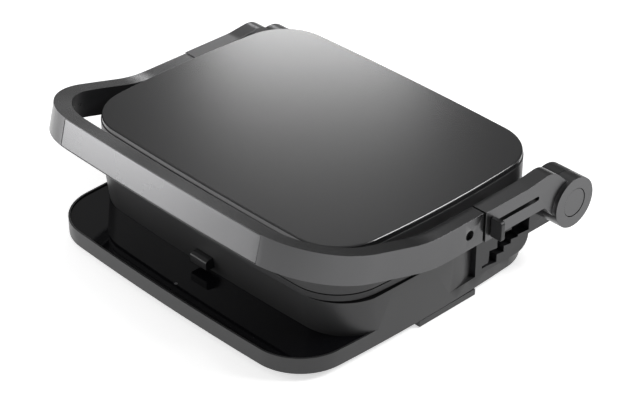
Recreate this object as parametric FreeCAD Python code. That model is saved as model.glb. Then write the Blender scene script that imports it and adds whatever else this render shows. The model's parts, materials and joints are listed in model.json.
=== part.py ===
import FreeCAD, Part
import math
import os

# Contact grill with a folding upper grill: a flat touch-control base, a lower housing with a grill plate,
# and an upper housing that hangs in a U-shaped handle frame hinged at the back.
# Design frame in mm: X to the user's right, Y to the back, Z up from the table.
# X = 0 is midway between the arms. Every piece is moved by SHIFT when it is written, so that the origin is
# under the middle of the whole object.

# ---- driving dimensions ----------------------------------------------------------------------------------
BASE_HALF_X = 180.0
BASE_FRONT_Y = -165.7
BASE_REAR_Y = 157.0
BASE_BOTTOM_Z = 8.0
RIM_Z = 24.6
DECK_Z = 23.2
SLAB_TOP_Z = 19.4
PARTING_Z = 61.0
CORNER_R = 52.0
LOWER_FRONT_Y = -117.5
LOWER_FOOT_Y = -112.0
HEAD_HALF_X = 179.3
HEAD_FRONT_Y = -119.2
HEAD_REAR_Y = 154.7
SKIRT_Z = 62.6
RING_TOP_Z = 68.8
SHELL_TOP_Z = 113.4
LID_TOP_Z = 119.0
HINGE_Y = 158.3
HINGE_Z = 70.9
KNUCKLE_R = 25.7
CAP_X = 208.6
ARM_OUT_X = 202.8
ARM_WIDTH = 15.5
ARM_TOP_Z = 110.4
ARM_DEPTH = 30.8
HANDLE_FRONT_Y = -166.8
BAR_WIDTH = 19.0
RAMP_START_Y = -30.5
RAMP_SLOPE = 0.277
RAMP_UNDER_Y = -26.3
RAMP_UNDER_SLOPE = 0.2836
TRIM_HALF_X = 133.0
KNOB_X = 218.0
WALL = 2.6
GAP = 0.3
PLATE_HALF_X = 155.0
PLATE_FRONT_Y = -103.0
PLATE_REAR_Y = 141.0
RIB_PITCH = 16.0
RIB_WIDTH = 5.0
PIVOT_Y = 20.8
PIVOT_Z = 94.7
STEP_COUNT = 5
STEP_PITCH = 9.55
STEP_LIFT = 34.0
LED_Y = -150.0
LED_R = 1.6
LOWER_TAB_Z = 29.0
UPPER_TAB_Z = 86.0
TAB_HALF_X = 11.0
TAB_HEIGHT = 11.0
TAB_FRONT_Y = -123.0
UPPER_TAB_FRONT_Y = -126.0
GLAND_X = -110.0
GLAND_Z = 15.0
GLAND_R = 6.5
TRAY_FRONT_Y = -15.5
TRAY_REAR_Y = 58.3
DRAIN_X = 110.0
DRAIN_Y = 21.0
LOWER_PLATE_Z = 52.0
UPPER_PLATE_Z = 70.0
SHIELD_Z = 40.8
UPPER_SHIELD_Z = 83.5
ELEMENT_R = 3.25
TERMINAL_END_Y = 149.2
BOARD_Z = 15.8
BOARD_TOP_Z = 17.4
PIN_R = 6.0
PIN_END_X = 200.2
BUSH_R = 9.0
BUSH_END_X = 200.5
RUNNING = 0.06
BUTTON_R = 14.3
BOLT_R = 3.5
BOLT_HEAD_X = 193.5
SLIDER_Y = 49.0
KNOB_Y = 45.6
SPINE_END_Y = 115.0
SLIT_Z = 94.5
SLIT_END_Y = 109.4
SLIDER_IN_X = 199.0
FOOT_Y = 74.0
FOOT_IN_X = 170.0

# ---- sizes that follow from them -------------------------------------------------------------------------
HANDLE_TOP_Z = ARM_TOP_Z + RAMP_SLOPE * (RAMP_START_Y - HANDLE_FRONT_Y)
ARM_IN_X = ARM_OUT_X - ARM_WIDTH
ARM_BOTTOM_Z = ARM_TOP_Z - ARM_DEPTH
LINK_OUT_X = ARM_OUT_X + 1.5
LINK_FRONT_Y = 40.0
BRACKET_IN_X = 168.0
BRACKET_OUT_X = 178.8
BRACKET_KNUCKLE_X = 171.5
BRACKET_SKIN_X = 176.4
BRACKET_FRONT_Y = 58.0
BRACKET_TOP_Z = 57.0
BOSS_OUT_X = 191.0
STEP_START_Y = 77.3
STEP_FIRST_Z = 24.2
REAR_Y = HINGE_Y + KNUCKLE_R
RAMP_UNDER_RISE = RAMP_UNDER_SLOPE * (RAMP_UNDER_Y - HANDLE_FRONT_Y + RAMP_SLOPE * HANDLE_TOP_Z)
BAR_BOTTOM_Z = (ARM_BOTTOM_Z + RAMP_UNDER_RISE) / (1 + RAMP_UNDER_SLOPE * RAMP_SLOPE)
FRONT_Y = HANDLE_FRONT_Y - RAMP_SLOPE * (HANDLE_TOP_Z - BAR_BOTTOM_Z)
SHIFT = FreeCAD.Vector(-(KNOB_X - CAP_X) / 2, -(FRONT_Y + REAR_Y) / 2, 0)
LEFT_RIGHT = (("left", -1), ("right", 1))


def vec(x, y, z=0.0):
    return FreeCAD.Vector(x, y, z)


# ---- drawing helpers -------------------------------------------------------------------------------------
def box(x0, x1, y0, y1, z0, z1):
    return Part.makeBox(x1 - x0, y1 - y0, z1 - z0, vec(x0, y0, z0))


def rod_x(radius, x0, x1, y, z):
    return Part.makeCylinder(radius, x1 - x0, vec(x0, y, z), vec(1, 0, 0))


def rod_y(radius, y0, y1, x, z):
    return Part.makeCylinder(radius, y1 - y0, vec(x, y0, z), vec(0, 1, 0))


def rod_z(radius, z0, z1, x, y):
    return Part.makeCylinder(radius, z1 - z0, vec(x, y, z0), vec(0, 0, 1))


def fuse(shapes):
    return shapes[0].multiFuse(shapes[1:]).removeSplitter()


def mirror_x(shape):
    return shape.mirror(vec(0, 0, 0), vec(1, 0, 0))


def on_side(shape, sign):
    """The right-hand shape itself, or its mirror image on the left."""
    return shape if sign > 0 else mirror_x(shape)


def rounded_wire(points, radii, place):
    """Closed polygon with a tangent arc of the given radius at each corner (0 keeps it sharp)."""
    edges = []
    entries = []
    exits = []
    for i, point in enumerate(points):
        here = FreeCAD.Vector(point[0], point[1], 0)
        before = FreeCAD.Vector(*points[i - 1], 0)
        after = FreeCAD.Vector(*points[(i + 1) % len(points)], 0)
        to_before = (before - here).normalize()
        to_after = (after - here).normalize()
        half_angle = to_before.getAngle(to_after) / 2
        reach = radii[i] / math.tan(half_angle) if radii[i] else 0.0
        entries.append(here + to_before * reach)
        exits.append(here + to_after * reach)
        if radii[i]:
            inward = (to_before + to_after).normalize()
            middle = here + inward * (radii[i] / math.sin(half_angle) - radii[i])
            edges.append(Part.Arc(place(entries[i]), place(middle), place(exits[i])).toShape())
    for i in range(len(points)):
        start = exits[i]
        end = entries[(i + 1) % len(points)]
        if (end - start).Length > 1e-6:
            edges.append(Part.LineSegment(place(start), place(end)).toShape())
    return Part.Wire(Part.__sortEdges__(edges))


def profile_x(points, radii, x0, x1):
    """Prism along X of a (y, z) polygon."""
    wire = rounded_wire(points, radii, lambda p: vec(x0, p.x, p.y))
    return Part.Face(wire).extrude(vec(x1 - x0, 0, 0))


def profile_y(points, radii, y0, y1):
    """Prism along Y of an (x, z) polygon."""
    wire = rounded_wire(points, radii, lambda p: vec(p.x, y0, p.y))
    return Part.Face(wire).extrude(vec(0, y1 - y0, 0))


def corner_centre(side_centre, side_r, end_centre, end_r, corner_r, sign_y):
    """Centre of the corner arc that touches the side arc and the end arc from inside."""
    r1 = side_r - corner_r
    r2 = end_r - corner_r
    between = end_centre - side_centre
    gap = between.Length
    along = (r1 * r1 - r2 * r2 + gap * gap) / (2 * gap)
    across = math.sqrt(r1 * r1 - along * along)
    unit = between.normalize()
    normal = vec(-unit.y, unit.x)
    base = side_centre + unit * along
    options = (base + normal * across, base - normal * across)
    return max(options, key=lambda p: p.x + sign_y * p.y)


def bowed_wire(half_x, front_y, rear_y, corner_r, side_r, end_r, inset, z):
    """Rounded rectangle with slightly bowed sides, drawn as eight tangent arcs."""
    middle_y = (front_y + rear_y) / 2
    hx, fy, ry = half_x - inset, front_y + inset, rear_y - inset
    cr, sr, er = corner_r - inset, side_r - inset, end_r - inset
    side_centre = vec(hx - sr, middle_y)
    edges = []
    side_points = []
    end_points = []
    for sign_y, end_y in ((-1, fy), (1, ry)):
        end_centre = vec(0, end_y - sign_y * er)
        centre = corner_centre(side_centre, sr, end_centre, er, cr, sign_y)
        on_side_arc = side_centre + (centre - side_centre).normalize() * sr
        on_end_arc = end_centre + (centre - end_centre).normalize() * er
        outward = ((on_side_arc - centre).normalize() + (on_end_arc - centre).normalize()).normalize()
        corner_point = centre + outward * cr
        side_points.append(on_side_arc)
        end_points.append((on_end_arc, vec(0, end_y)))
        for sign_x in (1, -1):
            three = [vec(sign_x * p.x, p.y, z) for p in (on_side_arc, corner_point, on_end_arc)]
            edges.append(Part.Arc(*three).toShape())
    for sign_x in (1, -1):
        three = [vec(sign_x * p.x, p.y, z) for p in (side_points[0], vec(hx, middle_y), side_points[1])]
        edges.append(Part.Arc(*three).toShape())
    for tangent, crown in end_points:
        three = (vec(-tangent.x, tangent.y, z), vec(0, crown.y, z), vec(tangent.x, tangent.y, z))
        edges.append(Part.Arc(*three).toShape())
    return Part.Wire(Part.__sortEdges__(edges))


def bowed_prism(shape_of, inset, z0, z1, lean=0.0):
    wire = bowed_wire(*shape_of, inset, z0)
    return Part.Face(wire).extrude(vec(0, lean * (z1 - z0), z1 - z0))


BASE = (BASE_HALF_X, BASE_FRONT_Y, BASE_REAR_Y, CORNER_R, 1834.0, 3088.0)
LOWER = (BASE_HALF_X + 2.0, LOWER_FRONT_Y, BASE_REAR_Y, CORNER_R, 1600.0, 3088.0)
LOWER_FOOT = (BASE_HALF_X + 2.0, LOWER_FOOT_Y, BASE_REAR_Y, CORNER_R, 1600.0, 3088.0)
HEAD = (HEAD_HALF_X, HEAD_FRONT_Y, HEAD_REAR_Y, CORNER_R, 1192.0, 3916.0)
PLATE = (PLATE_HALF_X, PLATE_FRONT_Y, PLATE_REAR_Y, 30.0, 1500.0, 3500.0)
FRAME_FLOOR_Z = 70.0
FRAME_FLOOR_Y = HANDLE_FRONT_Y - RAMP_SLOPE * (HANDLE_TOP_Z - FRAME_FLOOR_Z)
FRAME = (ARM_OUT_X, FRAME_FLOOR_Y, 190.0, 79.0, 3000.0, 3000.0)
FRAME_INNER = (ARM_OUT_X - ARM_WIDTH, FRAME_FLOOR_Y + BAR_WIDTH, 180.0, 61.0, 3000.0, 3000.0)


# ---- lower body ------------------------------------------------------------------------------------------
def bracket_pocket(grow):
    """Recess in the right wall for the hinge bracket, with a soft scoop in front of it."""
    floor_z = 20.0 - grow
    ceiling_z = PARTING_Z + 14
    scoop_r = 125.0
    scoop_depth = 7.6
    scoop_y = BRACKET_FRONT_Y - math.sqrt(scoop_r ** 2 - (scoop_r - scoop_depth) ** 2)
    recess = box(BRACKET_IN_X - grow, 190, BRACKET_FRONT_Y - grow, 190, floor_z, ceiling_z)
    scoop = box(BASE_HALF_X - scoop_depth - grow, 190, scoop_y, BRACKET_FRONT_Y, floor_z, ceiling_z)
    shoulder = rod_z(scoop_r - grow, floor_z, ceiling_z, BASE_HALF_X - scoop_r, scoop_y)
    return recess.fuse(scoop.cut(shoulder))


def both_pockets(grow):
    return bracket_pocket(grow).fuse(mirror_x(bracket_pocket(grow)))


def lower_tub(inset, z0, z1):
    """Raised part of the lower housing; its front leans out as it rises and its sides follow the base."""
    foot = bowed_wire(*LOWER_FOOT, inset, z0)
    top = bowed_wire(*LOWER, inset, z1)
    return Part.makeLoft([foot, top], True, True).common(bowed_prism(BASE, inset, z0 - 1, z1 + 1))


def cover_screw_places():
    return [(-110, -140), (110, -140), (-168, -40), (168, -40), (-74, 149), (74, 149)]


def tab_opening(z, y0, y1):
    """Slot in a front wall for a release tab."""
    side = TAB_HALF_X + 0.4
    return box(-side, side, y0, y1, z - 0.4, z + TAB_HEIGHT + 0.4)


def lower_housing():
    tub = lower_tub(0, RIM_Z - 4, PARTING_Z)
    body = bowed_prism(BASE, 0, BASE_BOTTOM_Z, RIM_Z).fuse(tub)
    slab_room = bowed_prism(BASE, WALL, BASE_BOTTOM_Z - 1, SLAB_TOP_Z)
    tub_room = lower_tub(WALL, SLAB_TOP_Z - 2, PARTING_Z - WALL)
    body = body.cut(fuse([slab_room, tub_room]).cut(both_pockets(WALL)))
    body = body.cut(bowed_prism(PLATE, -0.5, 50, PARTING_Z + 1)).cut(both_pockets(0))
    front = box(-200, 200, -200, -50, 0, 60)
    deck_recess = bowed_prism(BASE, 2.0, DECK_Z - 2.0, RIM_Z + 1).cut(tub).common(front)
    tab_slot = tab_opening(LOWER_TAB_Z, -125, -100)
    gland_hole = rod_y(GLAND_R, 140, 170, GLAND_X, GLAND_Z)
    vents = [box(x, x + 26, 150, 165, z, z + 2.2) for x in range(-91, 90, 39) for z in (32, 38, 44)]
    light_hole = rod_z(LED_R, 15, 30, 0, LED_Y)
    body = body.cut(deck_recess).cut(fuse([tab_slot, gland_hole, light_hole])).cut(fuse(vents))
    posts = []
    for x, y in cover_screw_places():
        top_z = SLAB_TOP_Z + 1 if y < -100 else 30.0
        posts.append(rod_z(4.0, BASE_BOTTOM_Z + 2.4, top_z, x, y))
        if abs(x) > 150:
            x0, x1 = sorted((x, x * 1.055))
            posts.append(box(x0, x1, y - 1.5, y + 1.5, BASE_BOTTOM_Z + 2.4, top_z))
        if y > 100:
            posts.append(box(x - 1.5, x + 1.5, y, y + 7, BASE_BOTTOM_Z + 2.4, top_z))
    return fuse([body] + posts)


def control_glass():
    glass = bowed_prism(BASE, 2.2, DECK_Z - 2.0, DECK_Z).cut(lower_tub(-0.1, RIM_Z - 4, PARTING_Z))
    return glass.cut(box(-200, 200, -50, 200, 0, 60)).cut(rod_z(LED_R, 15, 30, 0, LED_Y))


def light_pipe():
    return rod_z(LED_R, BOARD_TOP_Z, DECK_Z, 0, LED_Y)


def control_board():
    board = box(-95, 95, -156, -126, BOARD_Z, BOARD_TOP_Z)
    holes = [rod_z(1.6, 10, 30, x, -141) for x in (-88, 88)]
    pads = [rod_z(5.0, BOARD_TOP_Z, SLAB_TOP_Z, x, -137) for x in range(-72, 73, 24)]
    chips = [box(x, x + 12, -150, -142, BOARD_Z - 1.8, BOARD_Z) for x in (-60, 20)]
    return fuse([board] + pads + chips).cut(fuse(holes))


def shield_posts(z0, z1):
    return [rod_z(5.0, z0, z1, x, y) for x in (-125, 125) for y in (-80, 115)]


def foot_places():
    return [(x, y) for x in (-148.0, 148.0) for y in (-132.0, 112.0)]


def base_cover():
    top_z = BASE_BOTTOM_Z + 2.4
    plate = bowed_prism(BASE, WALL + GAP, BASE_BOTTOM_Z, top_z)
    board_posts = [rod_z(3.0, top_z, BOARD_Z, x, y) for x, y in board_screw_places()]
    drain = rod_z(6.6, 0, 12, DRAIN_X, DRAIN_Y)
    vents = [box(x, x + 3, -90, -50, 5, 12) for x in range(-100, 101, 12)]
    plugs = [rod_z(4.0, 5, 12, x, y) for x, y in foot_places()]
    spring_seat = box(-8, 8, -94, -92, top_z, SHIELD_Z - 0.5)
    solid = fuse([plate, spring_seat] + board_posts + shield_posts(top_z, SHIELD_Z))
    return solid.cut(fuse([drain] + vents + plugs))


def tray_rails():
    """Two ledges under the base that the drip tray's flanges slide on."""
    rails = []
    for web_y, ledge_y in ((TRAY_FRONT_Y - 4.0, TRAY_FRONT_Y - 2.1), (TRAY_REAR_Y + 2.1, TRAY_REAR_Y + 0.4)):
        web = box(-66, 168, web_y, web_y + 1.9, 4.4, BASE_BOTTOM_Z)
        rails.append(web.fuse(box(-66, 168, ledge_y, ledge_y + 1.7, 4.4, 5.6)).removeSplitter())
    return Part.makeCompound(rails)


def rubber_feet():
    feet = []
    for x, y in foot_places():
        pad = Part.makeCone(8.2, 9.4, BASE_BOTTOM_Z, vec(x, y, 0))
        feet.append(pad.fuse(rod_z(4.0, BASE_BOTTOM_Z, BASE_BOTTOM_Z + 2.4, x, y)))
    return Part.makeCompound(feet)


def drip_tray():
    outer = box(-58, BASE_HALF_X - 0.3, TRAY_FRONT_Y, TRAY_REAR_Y, 0.8, 7.2)
    flanges = box(-58, 160, TRAY_FRONT_Y - 1.7, TRAY_REAR_Y + 1.7, 6.0, 7.2)
    inner = box(-56.4, BASE_HALF_X - 6, TRAY_FRONT_Y + 1.6, TRAY_REAR_Y - 1.6, 2.2, 10)
    return fuse([outer, flanges]).cut(inner)


def power_board():
    z = BOARD_TOP_Z
    board = box(-60, 60, 118, 150, BOARD_Z, z)
    parts = [box(-48, -30, 122, 138, z, 32), box(-22, 2, 120, 134, z, 30), rod_z(6.5, z, 34, 18, 130)]
    parts += [box(32, 48, 122, 130, z, 26)]
    parts += [box(x - 4, x + 4, 142, 150, z, 22) for x in (-20, 20)]
    return fuse([board] + parts)


def cord_gland():
    flange = rod_y(GLAND_R - 0.6, BASE_REAR_Y - WALL - 2, BASE_REAR_Y + 2.5, GLAND_X, GLAND_Z)
    collar = rod_y(GLAND_R, BASE_REAR_Y - WALL, BASE_REAR_Y, GLAND_X, GLAND_Z)
    return fuse([flange, collar]).cut(rod_y(3.6, 140, 170, GLAND_X, GLAND_Z))


def element_wire(z):
    """Loop under the plate, open at the back where its two terminals leave."""
    points = [(-20, 146), (-20, 116), (-92, 116), (-92, -76), (92, -76), (92, 116), (20, 116), (20, 146)]
    bend_r = 16.0
    edges = []
    start = vec(*points[0], z)
    for i in range(1, len(points) - 1):
        here = vec(*points[i], z)
        into = (vec(*points[i - 1], z) - here).normalize()
        out = (vec(*points[i + 1], z) - here).normalize()
        arc_in, arc_out = here + into * bend_r, here + out * bend_r
        middle = here + (into + out) * bend_r - (into + out).normalize() * bend_r
        edges.append(Part.LineSegment(start, arc_in).toShape())
        edges.append(Part.Arc(arc_in, middle, arc_out).toShape())
        start = arc_out
    edges.append(Part.LineSegment(start, vec(*points[-1], z)).toShape())
    return Part.Wire(edges)


def heating_element(z):
    path = element_wire(z)
    ring = Part.Wire(Part.makeCircle(ELEMENT_R, vec(-20, 146, z), vec(0, 1, 0)))
    tube = path.makePipeShell([ring], True, False)
    terminals = [rod_y(1.6, 146, TERMINAL_END_Y, x, z) for x in (-20, 20)]
    return fuse([tube] + terminals)


def heat_shield(z_floor, z_rim):
    """Thin pan behind the heating element; it opens towards the plate."""
    sheet = 0.8
    z0, z1 = min(z_floor, z_rim), max(z_floor, z_rim)
    inner = (z0 + sheet, z1) if z_floor < z_rim else (z0, z1 - sheet)
    pan = bowed_prism(PLATE, 3.0, z0, z1).cut(bowed_prism(PLATE, 3.0 + sheet, *inner))
    element_z = z_rim - math.copysign(ELEMENT_R + 0.05, z_rim - z_floor)
    return pan.cut(fuse([rod_y(ELEMENT_R + 0.3, 120, 160, x, element_z) for x in (-20, 20)]))


def plate_ribs(z0, z1):
    room = bowed_prism(PLATE, 8.0, z0, z1)
    count = int((PLATE_HALF_X - 10) // RIB_PITCH)
    bars = [box(i * RIB_PITCH - RIB_WIDTH / 2, i * RIB_PITCH + RIB_WIDTH / 2, -150, 150, z0, z1)
            for i in range(-count, count + 1)]
    return Part.makeCompound(bars).common(room)


def lower_grill_plate():
    plate = bowed_prism(PLATE, 0, LOWER_PLATE_Z, PARTING_Z)
    plate = plate.cut(bowed_prism(PLATE, 4.0, LOWER_PLATE_Z + 5, PARTING_Z + 1))
    ribs = plate_ribs(LOWER_PLATE_Z + 5, PARTING_Z - 0.6).cut(rod_z(9.0, 50, 70, DRAIN_X, DRAIN_Y))
    return plate.fuse(ribs.Solids).cut(rod_z(5.0, 45, 70, DRAIN_X, DRAIN_Y)).removeSplitter()


def upper_grill_plate():
    plate = bowed_prism(PLATE, 0, SKIRT_Z, UPPER_PLATE_Z)
    plate = plate.cut(bowed_prism(PLATE, 4.0, SKIRT_Z - 1, UPPER_PLATE_Z - 5))
    ribs = plate_ribs(SKIRT_Z - 0.6, UPPER_PLATE_Z - 5)
    return plate.fuse(ribs.Solids).removeSplitter()


def drain_chute():
    bore = rod_z(5.0, 0, 60, DRAIN_X, DRAIN_Y)
    return rod_z(6.5, BASE_BOTTOM_Z, LOWER_PLATE_Z, DRAIN_X, DRAIN_Y).cut(bore)


def temperature_sensor(z_plate, direction):
    low, high = sorted((z_plate, z_plate + direction * 7.0))
    body = rod_z(6.0, low, high, 0, 20)
    lead_low, lead_high = sorted((z_plate + direction * 7.0, z_plate + direction * 9.5))
    return fuse([body, rod_z(1.4, lead_low, lead_high, -2.5, 20), rod_z(1.4, lead_low, lead_high, 2.5, 20)])


def release_tab(z, front_y, wall_y):
    """Push tab in a front wall, with a stop flange behind the wall and a socket for its spring."""
    end_y = wall_y + 10
    top_z = z + TAB_HEIGHT
    points = [(front_y, z), (front_y, top_z - 2), (front_y + 4, top_z), (end_y, top_z), (end_y, z)]
    button = profile_x(points, [2, 2, 2, 0, 0], -TAB_HALF_X, TAB_HALF_X)
    stop = box(-TAB_HALF_X - 3, TAB_HALF_X + 3, wall_y + 0.2, wall_y + 3, z + 1, z + TAB_HEIGHT - 1)
    return button.fuse(stop).cut(rod_y(3.4, wall_y + 4, end_y + 1, 0, z + TAB_HEIGHT / 2))


def coil_y(radius, y0, y1, x, z):
    """Plain tube in place of a coil spring along Y."""
    return rod_y(radius, y0, y1, x, z).cut(rod_y(radius - 0.8, y0 - 1, y1 + 1, x, z))


# ---- hinge brackets --------------------------------------------------------------------------------------
def step_height(i):
    """Each tread lifts the handle by the same amount more, so treads nearer the hinge rise less."""
    y = STEP_START_Y + (i + 0.5) * STEP_PITCH
    return STEP_FIRST_Z + i * STEP_LIFT * (HINGE_Y - y) / (HINGE_Y - HANDLE_FRONT_Y)


def stair_points(rise):
    points = []
    for i in range(STEP_COUNT):
        y = STEP_START_Y + i * STEP_PITCH
        length = STEP_PITCH if i < STEP_COUNT - 1 else 1.6 * STEP_PITCH
        points.append((y, step_height(i) + rise + 0.7))
        points.append((y + length, step_height(i) + rise - 0.7))
    return points


def hinge_bracket():
    side = [(BRACKET_FRONT_Y, 20), (130.5, 20), (130.5, 35.2), (REAR_Y, 35.2), (REAR_Y, HINGE_Z),
            (HINGE_Y, HINGE_Z + 3), (HINGE_Y - KNUCKLE_R, HINGE_Z), (128.5, BRACKET_TOP_Z),
            (BRACKET_FRONT_Y, BRACKET_TOP_Z)]
    plate = profile_x(side, [0, 15, 0, 24, 0, 0, 0, 0, 2], BRACKET_KNUCKLE_X, BRACKET_OUT_X)
    root = box(BRACKET_IN_X, BRACKET_KNUCKLE_X, BRACKET_FRONT_Y, 111, 20, BRACKET_TOP_Z)
    heel = [(111, 20), (123, 35.2), (136, 35.2), (136, BRACKET_TOP_Z), (111, BRACKET_TOP_Z)]
    root = root.fuse(profile_x(heel, [0, 4, 0, 0, 0], BRACKET_IN_X, BRACKET_KNUCKLE_X))
    knuckle = rod_x(KNUCKLE_R, BRACKET_KNUCKLE_X, BOSS_OUT_X, HINGE_Y, HINGE_Z)
    return fuse([plate, root, knuckle]).cut(rod_x(PIN_R, 160, 200, HINGE_Y, HINGE_Z))


def step_bracket_right():
    stairs = stair_points(0)
    last_y = stairs[-1][0]
    well = [(BRACKET_FRONT_Y + 2.4, STEP_FIRST_Z), (STEP_START_Y, STEP_FIRST_Z)] + stairs
    well += [(last_y, BRACKET_TOP_Z + 9), (BRACKET_FRONT_Y + 2.4, BRACKET_TOP_Z + 9)]
    behind_skin = profile_x(well, [0] * len(well), BRACKET_IN_X - 1, BRACKET_SKIN_X)
    window_front_y = STEP_START_Y - 2.3
    window = [(window_front_y, STEP_FIRST_Z + 0.7)] + stairs + stair_points(15.5)[::-1]
    window += [(window_front_y, STEP_FIRST_Z + 16.2)]
    through_skin = profile_x(window, [0] * len(window), BRACKET_SKIN_X - 1, BRACKET_OUT_X + 1)
    slit_y0, slit_y1 = window_front_y - 8, window_front_y + 1
    lock_slit = box(BRACKET_SKIN_X - 1, BRACKET_OUT_X + 1, slit_y0, slit_y1, 25.2, 27.8)
    return hinge_bracket().cut(behind_skin).cut(through_skin).cut(lock_slit)


def hinge_pin(sign):
    shaft = rod_x(PIN_R, BRACKET_KNUCKLE_X - 1.6, PIN_END_X, HINGE_Y, HINGE_Z)
    head = rod_x(PIN_R + 3.5, BRACKET_KNUCKLE_X - 3.2, BRACKET_KNUCKLE_X, HINGE_Y, HINGE_Z)
    return on_side(fuse([shaft, head]), sign)


def hinge_bush(sign):
    ring = rod_x(BUSH_R, BOSS_OUT_X + GAP, BUSH_END_X, HINGE_Y, HINGE_Z)
    return on_side(ring.cut(rod_x(PIN_R + RUNNING, 150, 210, HINGE_Y, HINGE_Z)), sign)


# ---- handle frame ----------------------------------------------------------------------------------------
def top_line(offset, rear_y):
    """Points and radii along the frame's top edge seen from the side, offset downwards."""
    far_y = FRONT_Y - 30
    bend_y = RAMP_START_Y + offset * RAMP_SLOPE / 2
    far_z = ARM_TOP_Z - offset + RAMP_SLOPE * (bend_y - far_y)
    return [(rear_y, ARM_TOP_Z - offset), (bend_y, ARM_TOP_Z - offset), (far_y, far_z)], [0, 140, 0]


def bottom_line(offset, rear_y):
    """The same along its bottom edge, offset upwards."""
    far_y = FRONT_Y - 30
    bend_y = RAMP_UNDER_Y - offset * RAMP_UNDER_SLOPE / 2
    far_z = ARM_BOTTOM_Z + offset + RAMP_UNDER_SLOPE * (bend_y - far_y)
    return [(rear_y, ARM_BOTTOM_Z + offset), (bend_y, ARM_BOTTOM_Z + offset), (far_y, far_z)], [0, 140, 0]


def frame_band(upper, lower):
    """Slab across the whole frame between an upper and a lower edge line."""
    return profile_x(upper[0] + lower[0][::-1], upper[1] + lower[1][::-1], -230, 230)


def frame_prism(outline, inset):
    """Upright of the frame's outline, leaning so that the bar's face is square to the ramp."""
    return bowed_prism(outline, inset, FRAME_FLOOR_Z, HANDLE_TOP_Z + 12, RAMP_SLOPE)


def trim_zone(half_x):
    zone = frame_prism(FRAME, 0).cut(frame_prism(FRAME, 1.8))
    zone = zone.common(frame_band(top_line(0.5, 0), bottom_line(0.5, 0)))
    return zone.common(box(-half_x, half_x, -200, -120, 60, 180))


def handle_frame():
    rear_y = LINK_FRONT_Y - 1.5
    ring = frame_prism(FRAME, 0).cut(frame_prism(FRAME_INNER, 0))
    frame = ring.common(frame_band(top_line(0, rear_y), bottom_line(0, rear_y)))
    channel = frame_prism(FRAME, WALL).cut(frame_prism(FRAME_INNER, -WALL))
    channel = channel.common(frame_band(top_line(WALL, 0), bottom_line(-10, 0)))
    frame = frame.cut(channel).cut(trim_zone(TRIM_HALF_X + GAP))
    holes = []
    for _, sign in LEFT_RIGHT:
        bore = rod_x(BOLT_R, ARM_IN_X - 2, ARM_OUT_X + 5, PIVOT_Y, PIVOT_Z)
        recess = rod_x(4.9, BOLT_HEAD_X, ARM_OUT_X + 5, PIVOT_Y, PIVOT_Z)
        tongue_y0 = PIVOT_Y + 9.9
        tongue = box(ARM_IN_X + 4, ARM_OUT_X - 4, tongue_y0, LINK_FRONT_Y, ARM_BOTTOM_Z + 5, ARM_TOP_Z - 5)
        holes.append(on_side(fuse([bore, recess, tongue]), sign))
    return frame.cut(fuse(holes))


def handle_under_cover():
    slot = frame_prism(FRAME, WALL + 0.05).cut(frame_prism(FRAME_INNER, -WALL - 0.05))
    return slot.common(frame_band(bottom_line(2.4, -0.1), bottom_line(0, -0.1)))


def handle_front_trim():
    return trim_zone(TRIM_HALF_X)


def hinge_arm(sign):
    top_z = ARM_TOP_Z + 0.4
    side = [(LINK_FRONT_Y, ARM_BOTTOM_Z), (LINK_FRONT_Y, top_z), (98, top_z), (130, 114.6), (155, 92.0),
            (HINGE_Y, HINGE_Z), (HINGE_Y - KNUCKLE_R + 1.5, HINGE_Z - 6), (121, ARM_BOTTOM_Z)]
    link = profile_x(side, [0, 0, 60, 22, 0, 0, 0, 7], ARM_IN_X, LINK_OUT_X)
    tongue = box(ARM_IN_X + 4, ARM_OUT_X - 4, PIVOT_Y + 10, LINK_FRONT_Y, ARM_BOTTOM_Z + 5, ARM_TOP_Z - 5)
    knuckle = rod_x(KNUCKLE_R, BOSS_OUT_X + GAP, CAP_X, HINGE_Y, HINGE_Z)
    boss_room = rod_x(KNUCKLE_R + 0.6, ARM_IN_X - 1, BOSS_OUT_X + GAP, HINGE_Y, HINGE_Z)
    bores = Part.makeCompound([rod_x(BUSH_R, 180, BUSH_END_X, HINGE_Y, HINGE_Z),
                               rod_x(BUTTON_R + GAP, BUSH_END_X + 1, CAP_X + 1, HINGE_Y, HINGE_Z)])
    arm = fuse([link.cut(boss_room), tongue, knuckle]).cut(bores)
    if sign > 0:
        arm = arm.cut(slider_track())
    return on_side(arm, sign)


def slider_track():
    """Room inside the arm for the slider's block and strap, and the slit that the knob's neck runs in."""
    channel = box(ARM_IN_X - 1, SLIDER_IN_X, SLIDER_Y - 4, SPINE_END_Y + 8, SLIT_Z - 10, SLIT_Z + 10)
    slit = box(SLIDER_IN_X - 1, LINK_OUT_X + 1, SLIDER_Y - 2.4, SLIT_END_Y, SLIT_Z - 2.3, SLIT_Z + 2.3)
    end = rod_x(2.3, SLIDER_IN_X - 1, LINK_OUT_X + 1, SLIT_END_Y, SLIT_Z)
    return fuse([channel, slit, end])


def slider_knob():
    x0 = LINK_OUT_X + 0.4
    outline = [(x0, 83.5), (x0, 103), (KNOB_X, 103), (KNOB_X, 83.5)]
    fin = profile_y(outline, [1, 1, 3.5, 2], KNOB_Y, KNOB_Y + 4.8)
    neck = box(SLIDER_IN_X - 2, x0 + 0.6, SLIDER_Y, SLIDER_Y + 9, SLIT_Z - 2.0, SLIT_Z + 2.0)
    web = box(x0, x0 + 6, KNOB_Y, SLIDER_Y + 9, SLIT_Z - 2.0, SLIT_Z + 2.0)
    block = box(ARM_IN_X + 0.4, SLIDER_IN_X - 0.4, SLIDER_Y, SLIDER_Y + 16, SLIT_Z - 9.6, SLIT_Z + 9.6)
    return fuse([fin, neck, web, block])


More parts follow.
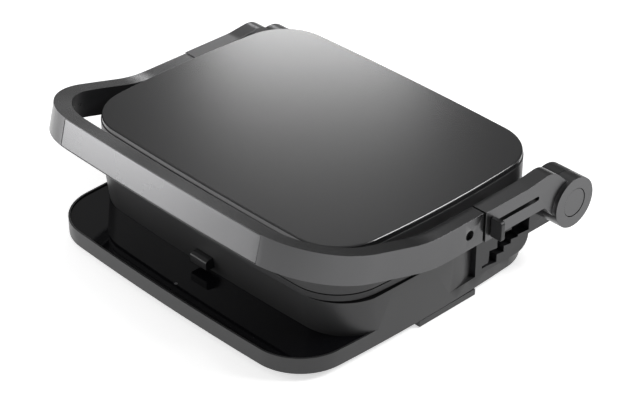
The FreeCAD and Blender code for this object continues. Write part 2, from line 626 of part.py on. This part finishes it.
def slider_foot():
    """Black steel strap: along the arm, down outside the bracket, over its edge and into the stair well."""
    spine = box(ARM_IN_X - 3.4, ARM_IN_X + 0.4, SLIDER_Y, SPINE_END_Y, SLIT_Z - 9, SLIT_Z + 8)
    leg = box(181.0, 183.9, FOOT_Y, FOOT_Y + 6, BRACKET_TOP_Z + 0.6, SLIT_Z)
    over = box(FOOT_IN_X, 183.9, FOOT_Y, FOOT_Y + 6, BRACKET_TOP_Z + 0.6, PARTING_Z + 0.4)
    foot = box(FOOT_IN_X, BRACKET_SKIN_X - 0.7, FOOT_Y, FOOT_Y + 6, STEP_FIRST_Z + 0.9, PARTING_Z)
    return fuse([spine, leg, over, foot])


def button_cap(x0, x1):
    return rod_x(BUTTON_R, x0, x1, HINGE_Y, HINGE_Z)


def hinge_release_button():
    cap = button_cap(CAP_X - 4.4, CAP_X - 0.4)
    return cap.cut(rod_x(6.0, CAP_X - 5, CAP_X - 3, HINGE_Y, HINGE_Z))


def hinge_release_spring():
    outer = rod_x(5.6, BUSH_END_X + 1, CAP_X - 3, HINGE_Y, HINGE_Z)
    return outer.cut(rod_x(4.6, BUSH_END_X, CAP_X, HINGE_Y, HINGE_Z))


def hinge_cap_left():
    return mirror_x(button_cap(BUSH_END_X + 1, CAP_X - 0.4))


def pivot_bolt(sign):
    head = rod_x(4.7, BOLT_HEAD_X, BOLT_HEAD_X + 3, PIVOT_Y, PIVOT_Z)
    socket = rod_x(2.0, BOLT_HEAD_X + 1, BOLT_HEAD_X + 4, PIVOT_Y, PIVOT_Z)
    shaft = rod_x(BOLT_R, 174, BOLT_HEAD_X, PIVOT_Y, PIVOT_Z)
    return on_side(fuse([head, shaft]).cut(socket), sign)


def pivot_spacers():
    ring = rod_x(8.0, 181.2, ARM_IN_X - 0.1, PIVOT_Y, PIVOT_Z).cut(rod_x(BOLT_R, 170, 200, PIVOT_Y, PIVOT_Z))
    return Part.makeCompound([on_side(ring, sign) for _, sign in LEFT_RIGHT])


def pivot_bushes():
    ring = fuse([rod_x(7.0, 173, 180.6, PIVOT_Y, PIVOT_Z), rod_x(9.5, 172, 175.0, PIVOT_Y, PIVOT_Z)])
    ring = ring.cut(rod_x(BOLT_R + RUNNING, 160, 200, PIVOT_Y, PIVOT_Z))
    return Part.makeCompound([on_side(ring, sign) for _, sign in LEFT_RIGHT])


# ---- upper housing ---------------------------------------------------------------------------------------
def ring_screw_places():
    return [(x, y) for x in (-167.0, 167.0) for y in (-45.0, 95.0)]


def lid_screw_places():
    return [(x, y) for x in (-145.0, 0.0, 145.0) for y in (-85.0, 120.0)]


def upper_housing():
    shell = bowed_prism(HEAD, 0, RING_TOP_Z + 1, SHELL_TOP_Z)
    room = bowed_prism(HEAD, WALL, RING_TOP_Z, SHELL_TOP_Z - 2.4)
    shell = shell.cut(room)
    spring_seat = box(-8, 8, -100, -98, UPPER_SHIELD_Z + 0.5, SHELL_TOP_Z - 2.0)
    posts = []
    for x, y in ring_screw_places():
        posts.append(rod_z(4.0, RING_TOP_Z + 1, RING_TOP_Z + 14, x, y))
        x0, x1 = sorted((x, x * 1.05))
        posts.append(box(x0, x1, y - 1.5, y + 1.5, RING_TOP_Z + 1, RING_TOP_Z + 14))
    shell = fuse([shell, spring_seat] + posts + shield_posts(UPPER_SHIELD_Z, SHELL_TOP_Z - 2.0))
    tab_slot = tab_opening(UPPER_TAB_Z, -125, -110)
    bush_holes = [on_side(rod_x(7.0, 160, 190, PIVOT_Y, PIVOT_Z), sign) for _, sign in LEFT_RIGHT]
    return shell.cut(fuse([tab_slot] + bush_holes))


def head_ring():
    band = bowed_prism(HEAD, 0, SKIRT_Z, RING_TOP_Z)
    groove = bowed_prism(HEAD, 1.4, RING_TOP_Z, RING_TOP_Z + 1)
    return band.fuse(groove).cut(bowed_prism(PLATE, -0.5, 50, 90)).removeSplitter()


def lid_panel():
    slab = bowed_prism(HEAD, 0.8, SHELL_TOP_Z, LID_TOP_Z)
    top_edges = [e for e in slab.Edges if all(abs(v.Z - LID_TOP_Z) < 1e-6 for v in e.Vertexes)]
    slab = slab.makeChamfer(1.0, top_edges)
    slab = slab.cut(bowed_prism(HEAD, 3.6, SHELL_TOP_Z - 1, LID_TOP_Z - 2.6))
    return fuse([slab] + [rod_z(4.0, SHELL_TOP_Z, LID_TOP_Z - 2, x, y) for x, y in lid_screw_places()])


# ---- wiring ----------------------------------------------------------------------------------------------
def lead(points, radius):
    """Insulated wire along straight runs, rounded at the bends."""
    runs = []
    for start, end in zip(points, points[1:]):
        step = vec(*end) - vec(*start)
        runs.append(Part.makeCylinder(radius, step.Length, vec(*start), step))
    bends = [Part.makeSphere(radius, vec(*point)) for point in points[1:-1]]
    return fuse(runs + bends)


def lower_wiring():
    supply = lead([(GLAND_X, 152.2, GLAND_Z), (GLAND_X, 146, GLAND_Z), (-66, 140, 20), (-52, 142, 20)], 2.2)
    y = TERMINAL_END_Y + 1.25
    leads = []
    for x in (-20, 20):
        leads.append(lead([(x, y, LOWER_PLATE_Z - 3.3), (x, y, 36), (x, 147, 26), (x, 147, 22)], 1.2))
    ribbon = fuse([box(24, 44, -130, 124, 12.0, 12.6), box(24, 44, -130, -129.4, 12.0, BOARD_Z),
                   box(24, 44, 123.4, 124, 12.0, BOARD_Z)])
    return Part.makeCompound([supply, ribbon] + leads)


def upper_wiring():
    terminal_z = UPPER_PLATE_Z + ELEMENT_R + 0.05
    leads = []
    back_y = TERMINAL_END_Y + 1.25
    for x, y in ((-20, 98), (20, 103)):
        route = [(x, back_y, terminal_z), (x, back_y, 92), (x, y, 92), (-150, y, 92), (-150, y - 74, 92)]
        leads.append(lead(route, 1.2))
    return Part.makeCompound(leads)


# ---- fasteners -------------------------------------------------------------------------------------------
def screw(place, direction, length):
    """Pan-head screw: place is where the head's underside sits, direction is where the shaft goes."""
    origin = vec(*place)
    way = vec(*direction)
    head = Part.makeCylinder(3.2, 1.8, origin - way * 1.8, way)
    socket = Part.makeCylinder(1.1, 1.0, origin - way * 1.8, way)
    return fuse([head, Part.makeCylinder(1.5, length, origin, way)]).cut(socket)


def cover_screws():
    return [screw((x, y, BASE_BOTTOM_Z), (0, 0, 1), 10) for x, y in cover_screw_places()]


def ring_screws():
    return [screw((x, y, SKIRT_Z + 2.0), (0, 0, 1), 14) for x, y in ring_screw_places()]


def ring_screw_wells():
    return fuse([rod_z(3.4, SKIRT_Z - 1, SKIRT_Z + 2.0, x, y) for x, y in ring_screw_places()])


def lid_screws():
    return [screw((x, y, SHELL_TOP_Z - 2.4), (0, 0, 1), 4.6) for x, y in lid_screw_places()]


def bracket_screws():
    places = [(98.0, 27.0), (116.0, 33.5)]
    x = BRACKET_IN_X - WALL
    return [screw((sign * x, y, z), (sign, 0, 0), 7) for _, sign in LEFT_RIGHT for y, z in places]


def board_screw_places():
    return [(-88, -141), (88, -141), (-54, 134), (54, 134)]


def board_screws():
    return [screw((x, y, BOARD_TOP_Z), (0, 0, -1), 5) for x, y in board_screw_places()]


def arm_screws():
    return [screw((sign * (ARM_IN_X + 7.7), 34.4, ARM_BOTTOM_Z), (0, 0, 1), 12) for _, sign in LEFT_RIGHT]


def grill_pieces():
    """Every piece by node name, with room cut for the screws that go through it."""
    covers, rings, lids = cover_screws(), ring_screws(), lid_screws()
    brackets, boards, arms = bracket_screws(), board_screws(), arm_screws()
    shield_hole = rod_z(6.8, 30, 60, DRAIN_X, DRAIN_Y)
    pieces = {
        "lower_housing": lower_housing().cut(covers + brackets),
        "control_glass": control_glass(),
        "light_pipe": light_pipe(),
        "control_board": control_board().cut(boards),
        "base_cover": base_cover().cut(covers + boards),
        "tray_rails": tray_rails(),
        "rubber_feet": rubber_feet(),
        "power_board": power_board().cut(boards),
        "cord_gland": cord_gland(),
        "lower_wiring": lower_wiring(),
        "lower_heat_shield": heat_shield(SHIELD_Z, LOWER_PLATE_Z).cut(shield_hole),
        "lower_element": heating_element(LOWER_PLATE_Z - ELEMENT_R - 0.05),
        "lower_grill_plate": lower_grill_plate(),
        "lower_temperature_sensor": temperature_sensor(LOWER_PLATE_Z, -1),
        "drain_chute": drain_chute(),
        "hinge_bracket_left": mirror_x(hinge_bracket()).cut(brackets),
        "step_bracket_right": step_bracket_right().cut(brackets),
        "lower_release_tab": release_tab(LOWER_TAB_Z, TAB_FRONT_Y, -110.0),
        "lower_tab_spring": coil_y(3.2, -106.0, -94.0, 0, LOWER_TAB_Z + TAB_HEIGHT / 2),
        "drip_tray": drip_tray(),
        "handle_frame": handle_frame().cut(arms),
        "handle_under_cover": handle_under_cover(),
        "handle_front_trim": handle_front_trim(),
        "pivot_spacers": pivot_spacers(),
        "slider_knob": slider_knob(),
        "slider_foot": slider_foot(),
        "hinge_release_button": hinge_release_button(),
        "hinge_release_spring": hinge_release_spring(),
        "hinge_cap_left": hinge_cap_left(),
        "upper_housing": upper_housing().cut(rings + lids),
        "skirt_ring": head_ring().cut(rings).cut(ring_screw_wells()),
        "lid_panel": lid_panel().cut(lids),
        "upper_grill_plate": upper_grill_plate(),
        "upper_element": heating_element(UPPER_PLATE_Z + ELEMENT_R + 0.05),
        "upper_heat_shield": heat_shield(UPPER_SHIELD_Z, UPPER_PLATE_Z),
        "upper_temperature_sensor": temperature_sensor(UPPER_PLATE_Z, 1),
        "pivot_bushes": pivot_bushes(),
        "upper_release_tab": release_tab(UPPER_TAB_Z, UPPER_TAB_FRONT_Y, -116.3),
        "upper_tab_spring": coil_y(3.2, -112.3, -100.0, 0, UPPER_TAB_Z + TAB_HEIGHT / 2),
        "upper_wiring": upper_wiring(),
        "cover_screws": Part.makeCompound(covers),
        "ring_screws": Part.makeCompound(rings),
        "lid_screws": Part.makeCompound(lids),
        "bracket_screws": Part.makeCompound(brackets),
        "board_screws": Part.makeCompound(boards),
        "arm_screws": Part.makeCompound(arms),
    }
    for side, sign in LEFT_RIGHT:
        pieces["hinge_pin_" + side] = hinge_pin(sign)
        pieces["hinge_bush_" + side] = hinge_bush(sign)
        pieces["hinge_arm_" + side] = hinge_arm(sign).cut(arms)
        pieces["pivot_bolt_" + side] = pivot_bolt(sign)
    return pieces


os.makedirs("parts", exist_ok=True)
for name, shape in grill_pieces().items():
    shape.translate(SHIFT)
    shape.exportStep("parts/" + name + ".step")
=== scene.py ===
import json
import math

import bmesh
import bpy
from mathutils import Euler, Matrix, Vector


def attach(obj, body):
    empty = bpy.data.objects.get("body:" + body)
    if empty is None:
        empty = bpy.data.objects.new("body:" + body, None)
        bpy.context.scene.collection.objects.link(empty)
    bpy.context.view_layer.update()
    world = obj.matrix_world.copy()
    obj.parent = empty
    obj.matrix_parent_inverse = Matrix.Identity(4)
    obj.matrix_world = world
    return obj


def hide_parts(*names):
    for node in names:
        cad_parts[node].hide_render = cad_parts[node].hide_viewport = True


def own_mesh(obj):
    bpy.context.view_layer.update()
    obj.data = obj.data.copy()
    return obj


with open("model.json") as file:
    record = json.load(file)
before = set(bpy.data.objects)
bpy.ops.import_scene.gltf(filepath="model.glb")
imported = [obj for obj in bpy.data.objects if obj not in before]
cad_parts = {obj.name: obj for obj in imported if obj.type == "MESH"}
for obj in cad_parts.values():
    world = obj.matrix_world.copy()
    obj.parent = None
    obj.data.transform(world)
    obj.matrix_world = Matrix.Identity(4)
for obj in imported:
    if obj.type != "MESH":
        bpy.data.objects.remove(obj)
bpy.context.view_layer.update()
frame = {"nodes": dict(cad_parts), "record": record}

# Looks for the contact grill: the CAD pieces get softened edges and procedural finishes, and stand on a pale
# studio floor. All lengths are in metres, in the CAD frame.

NODES = frame["nodes"]
BODY_OF = {name: body for body, names in frame["record"]["behaviour"]["bodies"].items() for name in names}

# ---- camera ----------------------------------------------------------------------------------------------
CAMERA_AT = (1.19366, -1.11873, 1.10011)
CAMERA_TURN = (90 - 32.77, 0.0, 46.29)
CAMERA_LENS = 115.36


def add_camera():
    data = bpy.data.cameras.new("Camera")
    data.lens = CAMERA_LENS
    data.sensor_width = 36.0
    data.dof.use_dof = False
    camera = bpy.data.objects.new("Camera", data)
    camera.location = CAMERA_AT
    camera.rotation_euler = Euler([math.radians(a) for a in CAMERA_TURN])
    bpy.context.scene.collection.objects.link(camera)
    bpy.context.scene.camera = camera


# ---- lights and floor ------------------------------------------------------------------------------------
# Each light: place, point it faces, width and height, power in watts.
LIGHTS = {
    "back_strip": ((-1.82, 1.75, 1.24), (-0.1, 0.1, 0.1), (0.5, 0.25), 4.4),
    "edge_box": ((1.2, 1.15, 1.4), (0, 0, 0.1), (0.8, 0.8), 26),
    "front_panel": ((-0.62, -0.62, 0.22), (-0.15, -0.15, 0.13), (0.5, 0.4), 2.7),
}
ROOM_DARK = 0.06
ROOM_BRIGHT = 0.45
ROOM_BRIGHT_SIDE = (-0.45, -0.85, 0.25)
FLOOR_GLOW = 0.6


def add_area_light(name, at, look_at, size, power):
    data = bpy.data.lights.new(name, "AREA")
    data.shape = "RECTANGLE"
    data.size, data.size_y = size
    data.energy = power
    lamp = bpy.data.objects.new(name, data)
    lamp.location = at
    lamp.rotation_euler = (Vector(look_at) - Vector(at)).to_track_quat("-Z", "Y").to_euler()
    bpy.context.scene.collection.objects.link(lamp)


def add_world():
    """Even white surroundings that get brighter towards one side of the room."""
    world = bpy.data.worlds.new("Studio")
    world.use_nodes = True
    nodes, links = world.node_tree.nodes, world.node_tree.links
    place = nodes.new("ShaderNodeTexCoord")
    side = nodes.new("ShaderNodeVectorMath")
    side.operation = "DOT_PRODUCT"
    side.inputs[1].default_value = Vector(ROOM_BRIGHT_SIDE).normalized()
    links.new(place.outputs["Generated"], side.inputs[0])
    level = nodes.new("ShaderNodeMapRange")
    level.interpolation_type = "SMOOTHSTEP"
    level.inputs["From Min"].default_value = -1.0
    level.inputs["To Min"].default_value = ROOM_DARK
    level.inputs["To Max"].default_value = ROOM_BRIGHT
    links.new(side.outputs["Value"], level.inputs["Value"])
    links.new(level.outputs["Result"], nodes["Background"].inputs["Strength"])
    nodes["Background"].inputs["Color"].default_value = (1.0, 1.0, 1.0, 1.0)
    bpy.context.scene.world = world


def add_floor():
    bpy.ops.mesh.primitive_plane_add(size=14, location=(0, 0, 0))
    floor = bpy.context.object
    floor.name = "studio_floor"
    material = bpy.data.materials.new("floor_paper")
    material.use_nodes = True
    shader = material.node_tree.nodes["Principled BSDF"]
    shader.inputs["Base Color"].default_value = (0.95, 0.95, 0.95, 1.0)
    shader.inputs["Roughness"].default_value = 0.9
    shader.inputs["Specular IOR Level"].default_value = 0.1
    shader.inputs["Emission Color"].default_value = (1.0, 1.0, 1.0, 1.0)
    shader.inputs["Emission Strength"].default_value = FLOOR_GLOW
    floor.data.materials.append(material)


# ---- finishes --------------------------------------------------------------------------------------------
def finish(name, color, roughness, metallic=0.0, vary=0.12, grain=900.0, bump=0.02, gloss=0.5,
           rough_vary=0.06):
    """Procedural finish: base colour and roughness drift slowly, and a fine grain catches the light."""
    material = bpy.data.materials.new(name)
    material.use_nodes = True
    nodes = material.node_tree.nodes
    links = material.node_tree.links
    shader = nodes["Principled BSDF"]
    shader.inputs["Metallic"].default_value = metallic
    shader.inputs["Specular IOR Level"].default_value = gloss
    place = nodes.new("ShaderNodeTexCoord")

    drift = nodes.new("ShaderNodeTexNoise")
    drift.inputs["Scale"].default_value = 14.0
    drift.inputs["Detail"].default_value = 6.0
    links.new(place.outputs["Object"], drift.inputs["Vector"])
    tone = nodes.new("ShaderNodeMix")
    tone.data_type = "RGBA"
    tone.inputs["A"].default_value = [c * (1 - vary) for c in color] + [1.0]
    tone.inputs["B"].default_value = [min(c * (1 + vary), 1.0) for c in color] + [1.0]
    links.new(drift.outputs["Fac"], tone.inputs["Factor"])
    links.new(tone.outputs["Result"], shader.inputs["Base Color"])

    wear = nodes.new("ShaderNodeMapRange")
    wear.inputs["To Min"].default_value = max(roughness - rough_vary, 0.02)
    wear.inputs["To Max"].default_value = min(roughness + rough_vary, 1.0)
    links.new(drift.outputs["Fac"], wear.inputs["Value"])
    links.new(wear.outputs["Result"], shader.inputs["Roughness"])

    speck = nodes.new("ShaderNodeTexNoise")
    speck.inputs["Scale"].default_value = grain
    speck.inputs["Detail"].default_value = 2.0
    links.new(place.outputs["Object"], speck.inputs["Vector"])
    relief = nodes.new("ShaderNodeBump")
    relief.inputs["Strength"].default_value = bump
    relief.inputs["Distance"].default_value = 0.0002
    links.new(speck.outputs["Fac"], relief.inputs["Height"])
    links.new(relief.outputs["Normal"], shader.inputs["Normal"])
    return material


def make_finishes():
    return {
        "dark_housing": finish("housing_paint", (0.038, 0.038, 0.039), 0.38, 0.3, bump=0.05),
        "black_plastic": finish("black_plastic", (0.008, 0.008, 0.009), 0.45, bump=0.08),
        "control_glass": finish("control_glass", (0.004, 0.004, 0.005), 0.06, bump=0.0, rough_vary=0.02,
                                gloss=0.3),
        "lid_finish": finish("lid_gloss", (0.024, 0.024, 0.025), 0.21, 0.2, vary=0.03, bump=0.0,
                             rough_vary=0.005, gloss=1.0),
        "frame_finish": finish("frame_paint", (0.105, 0.105, 0.107), 0.24, 1.0, bump=0.03),
        "silver_trim": finish("silver_trim", (0.17, 0.17, 0.173), 0.28, 1.0, bump=0.02, vary=0.04),
        "hinge_metal": finish("hinge_paint", (0.11, 0.11, 0.112), 0.34, 1.0, bump=0.03),
        "grill_coating": finish("non_stick", (0.012, 0.012, 0.012), 0.5, bump=0.15, grain=400.0),
        "shield_steel": finish("shield_steel", (0.45, 0.45, 0.46), 0.35, 1.0),
        "fastener_steel": finish("zinc_steel", (0.35, 0.35, 0.36), 0.4, 1.0),
        "pin_steel": finish("pin_steel", (0.5, 0.5, 0.51), 0.25, 1.0),
        "bush_plastic": finish("bush_plastic", (0.7, 0.69, 0.64), 0.4),
        "foot_rubber": finish("foot_rubber", (0.015, 0.015, 0.015), 0.8, bump=0.2),
        "board_laminate": finish("board_laminate", (0.02, 0.12, 0.05), 0.4),
        "light_pipe": finish("light_pipe", (0.12, 0.12, 0.125), 0.3),
        "wire_insulation": finish("wire_insulation", (0.45, 0.42, 0.38), 0.6, bump=0.2),
        "slider_black": finish("slider_black", (0.008, 0.008, 0.009), 0.42),
        "tray_metal": finish("tray_metal", (0.03, 0.03, 0.031), 0.35, 0.3),
    }


# ---- pieces ----------------------------------------------------------------------------------------------
SHARP = math.radians(28)
FLAT = math.radians(0.1)
SMALLEST_WALL = 2e-6
EDGE_WIDTH = {
    "lower_housing": 0.0006,
    "upper_housing": 0.0006,
    "skirt_ring": 0.0004,
    "lid_panel": 0.0008,
    "control_glass": 0.0002,
    "handle_frame": 0.0009,
    "handle_front_trim": 0.0009,
    "handle_under_cover": 0.0003,
    "hinge_arm_left": 0.0009,
    "hinge_arm_right": 0.0009,
    "hinge_bracket_left": 0.0005,
    "step_bracket_right": 0.0004,
    "hinge_release_button": 0.0008,
    "hinge_cap_left": 0.0008,
    "slider_knob": 0.0006,
    "slider_foot": 0.0003,
    "lower_release_tab": 0.0005,
    "upper_release_tab": 0.0005,
    "drip_tray": 0.0003,
    "base_cover": 0.0003,
}


def paint_gap_shade(mesh, gap_shade_finish):
    """Painted shade: the handle frame's inward walls, towards the upper grill, get a matt black finish that
    stands in for the shade in the gap between frame and lid.
    """
    mesh.materials.append(gap_shade_finish)
    for face in mesh.polygons:
        # Inward-facing, mostly upright walls of the frame get the black finish as painted shade.
        inward = face.normal.x * face.center.x + face.normal.y * face.center.y < 0
        if inward and abs(face.normal.z) < 0.6 and face.area > SMALLEST_WALL:
            face.material_index = 1


def soften(node, width, material):
    """A copy of a CAD piece with clean faces and rounded edges stands in for it."""
    mesh = NODES[node].data.copy()
    clean = bmesh.new()
    clean.from_mesh(mesh)
    bmesh.ops.remove_doubles(clean, verts=clean.verts, dist=1e-6)
    bmesh.ops.dissolve_limit(clean, angle_limit=FLAT, verts=clean.verts, edges=clean.edges)
    clean.to_mesh(mesh)
    clean.free()
    mesh.materials.clear()
    mesh.materials.append(material)
    mesh.shade_smooth()
    mesh.set_sharp_from_angle(angle=SHARP)
    piece = bpy.data.objects.new(node + "_soft", mesh)
    bpy.context.scene.collection.objects.link(piece)
    rounding = piece.modifiers.new("edge_rounding", "BEVEL")
    rounding.width = width
    rounding.segments = 2
    rounding.limit_method = "ANGLE"
    rounding.angle_limit = SHARP
    rounding.harden_normals = True
    rounding.use_clamp_overlap = True
    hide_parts(node)
    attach(piece, BODY_OF[node])
    return piece


def shorten_springs(finishes):
    """Each spring rides on its button as a copy of its CAD piece with its finish, and keeps the CAD shape.
    """
    slot_of = {part["node"]: part["material_slot"] for part in frame["record"]["subparts"]}
    for joint in frame["record"]["behaviour"]["joints"]:
        for spring in joint.get("deforming_nodes", []):
            node = spring["node"]
            mesh = NODES[node].data.copy()
            mesh.materials.clear()
            mesh.materials.append(finishes[slot_of[node]])
            piece = bpy.data.objects.new(node + "_coil", mesh)
            bpy.context.scene.collection.objects.link(piece)
            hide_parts(node)
            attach(piece, BODY_OF[node])
            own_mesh(piece)


def dress():
    finishes = make_finishes()
    for part in frame["record"]["subparts"]:
        node, slot = part["node"], part["material_slot"]
        material = finishes[slot]
        if node in EDGE_WIDTH:
            piece = soften(node, EDGE_WIDTH[node], material)
            # The handle frame's inward walls get matt black painted shade for the gap towards the lid.
            if node == "handle_frame":
                paint_gap_shade(piece.data, finishes["black_plastic"])
        else:
            for place in NODES[node].material_slots:
                place.material = material
    shorten_springs(finishes)


add_camera()
bpy.context.scene.view_settings.view_transform = "Standard"
add_world()
add_floor()
for light, settings in LIGHTS.items():
    add_area_light(light, *settings)
dress()
